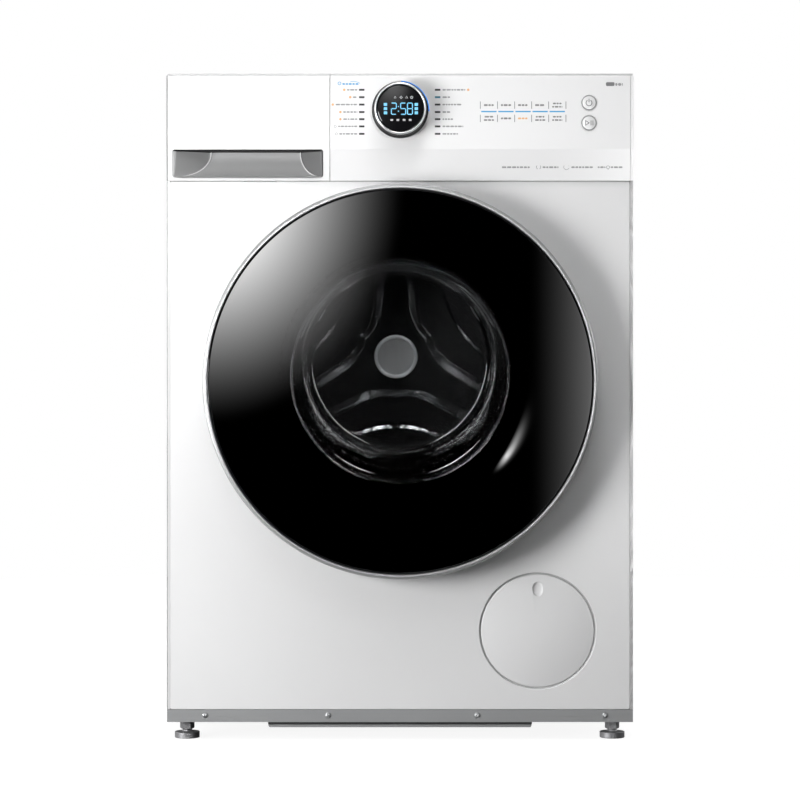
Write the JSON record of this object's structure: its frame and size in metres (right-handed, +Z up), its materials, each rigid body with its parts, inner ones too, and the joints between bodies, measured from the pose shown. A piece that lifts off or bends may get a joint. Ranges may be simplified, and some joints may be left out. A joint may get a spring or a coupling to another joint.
{
  "type": "front load washing machine",
  "caption": "Free-standing front-loading washing machine with a round tinted glass door, programme dial, detergent drawer and sprung drum.",
  "frame": {"origin": "centre of the bounding box in plan, at floor level under the feet", "axes": "+Z up, -Y towards the user (the door side), +X to the right as seen from the front"},
  "size_m": [0.595, 0.61, 0.85],
  "materials": {
    "white_steel": "gloss white enamel",
    "white_plastic": "satin white",
    "grey_plastic": "matt grey",
    "display_glass": "polished black",
    "circuit_board": "lacquered",
    "pale_plastic": "moulded",
    "black_rubber": "matt",
    "grey_rubber": "satin",
    "black_plastic": "fine grain",
    "zinc_steel": "zinc plated",
    "concrete": "cast",
    "motor_metal": "painted",
    "stainless": "brushed",
    "hub_metal": "brushed",
    "cast_aluminium": "as cast",
    "silver_trim": "satin chrome",
    "tinted_glass": "dark tinted, polished",
    "clear_glass": "polished",
    "blue_plastic": "moulded"
  },
  "bodies": {
    "cabinet": {"cabinet_shell": "white_steel", "front_panel": "white_steel", "rear_panel": "white_steel", "top_cover": "white_steel", "base_frame": "grey_plastic", "bottom_tray": "grey_plastic", "control_panel": "white_plastic", "display_glass": "display_glass", "control_board": "circuit_board", "dispenser_housing": "pale_plastic", "fill_hose": "black_rubber", "inlet_valve": "pale_plastic", "door_lock": "black_plastic", "hinge_bracket": "zinc_steel", "door_gasket": "grey_rubber", "gasket_clamp": "zinc_steel", "spring_left": "zinc_steel", "spring_right": "zinc_steel", "damper_body_left": "black_plastic", "damper_body_right": "black_plastic", "drain_pump": "pale_plastic", "sump_hose": "black_rubber"},
    "tub": {"tub_front": "pale_plastic", "tub_rear": "pale_plastic", "front_counterweight": "concrete", "top_counterweight": "concrete", "heater": "zinc_steel", "drive_motor": "motor_metal", "drive_belt": "black_rubber", "front_bearing": "zinc_steel", "rear_bearing": "zinc_steel", "damper_rod_left": "zinc_steel", "damper_rod_right": "zinc_steel"},
    "drum": {"drum_shell": "stainless", "drum_back": "stainless", "drum_hub_cap": "hub_metal", "lifter_1": "pale_plastic", "lifter_2": "pale_plastic", "lifter_3": "pale_plastic", "drum_spider": "cast_aluminium", "drum_pulley": "cast_aluminium"},
    "motor_rotor": {"motor_pulley": "zinc_steel"},
    "door": {"door_ring": "silver_trim", "door_outer_glass": "tinted_glass", "door_inner_frame": "black_plastic", "door_bowl": "clear_glass", "door_hinge_arm": "zinc_steel", "door_hook": "zinc_steel"},
    "drawer": {"drawer_front": "white_plastic", "drawer_tray": "pale_plastic", "siphon_insert": "blue_plastic"},
    "dial": {"dial_ring": "silver_trim"},
    "power_key": {"power_button": "white_plastic"},
    "start_key": {"start_button": "white_plastic"},
    "flap": {"service_flap": "white_plastic"},
    "filter": {"filter_cap": "blue_plastic"},
    "foot_fl": {"foot_front_left": "zinc_steel"},
    "foot_fr": {"foot_front_right": "zinc_steel"},
    "foot_rl": {"foot_rear_left": "zinc_steel"},
    "foot_rr": {"foot_rear_right": "zinc_steel"}
  },
  "joints": [
    {"name": "tub_bounce", "type": "slide", "parent": "cabinet", "child": "tub", "axis": [0, 0, 1], "range_m": [-0.008, 0.008], "stiffness_N_per_m": 22000, "springref_m": 0.01918, "deforming": ["spring_left", "spring_right", "fill_hose", "sump_hose", "door_gasket"]},
    {"name": "drum_spin", "type": "hinge", "parent": "tub", "child": "drum", "pos_m": [0, 0, 0.5], "axis": [0, 1, 0], "continuous": true},
    {"name": "motor_spin", "type": "hinge", "parent": "tub", "child": "motor_rotor", "pos_m": [0, 0.2655, 0.17], "axis": [0, 1, 0], "continuous": true},
    {"name": "door_swing", "type": "hinge", "parent": "cabinet", "child": "door", "pos_m": [-0.236, -0.281, 0.4574], "axis": [0, 0, -1], "range_deg": [0, 115]},
    {"name": "drawer_slide", "type": "slide", "parent": "cabinet", "child": "drawer", "axis": [0, -1, 0], "range_m": [0, 0.2]},
    {"name": "dial_turn", "type": "hinge", "parent": "cabinet", "child": "dial", "pos_m": [0, -0.266, 0.803], "axis": [0, 1, 0], "continuous": true},
    {"name": "power_press", "type": "slide", "parent": "cabinet", "child": "power_key", "axis": [0, 1, 0], "range_m": [0, 0.0015], "stiffness_N_per_m": 600, "springref_m": -0.002},
    {"name": "start_press", "type": "slide", "parent": "cabinet", "child": "start_key", "axis": [0, 1, 0], "range_m": [0, 0.0015], "stiffness_N_per_m": 600, "springref_m": -0.002},
    {"name": "flap_open", "type": "hinge", "parent": "cabinet", "child": "flap", "pos_m": [0.1757, -0.2592, 0.0702], "axis": [1, 0, 0], "range_deg": [0, 90]},
    {"name": "filter_turn", "type": "hinge", "parent": "cabinet", "child": "filter", "pos_m": [0.1757, -0.2468, 0.1394], "axis": [0, -1, 0], "range_deg": [0, 120]},
    {"name": "foot_fl_adjust", "type": "slide", "parent": "cabinet", "child": "foot_fl", "axis": [0, 0, -1], "range_m": [0, 0.012]},
    {"name": "foot_fr_adjust", "type": "slide", "parent": "cabinet", "child": "foot_fr", "axis": [0, 0, -1], "range_m": [0, 0.012]},
    {"name": "foot_rl_adjust", "type": "slide", "parent": "cabinet", "child": "foot_rl", "axis": [0, 0, -1], "range_m": [0, 0.012]},
    {"name": "foot_rr_adjust", "type": "slide", "parent": "cabinet", "child": "foot_rr", "axis": [0, 0, -1], "range_m": [0, 0.012]}
  ],
  "couplings": [
    {"joint": "motor_spin", "follows": "drum_spin", "ratio": 13.182}
  ]
}
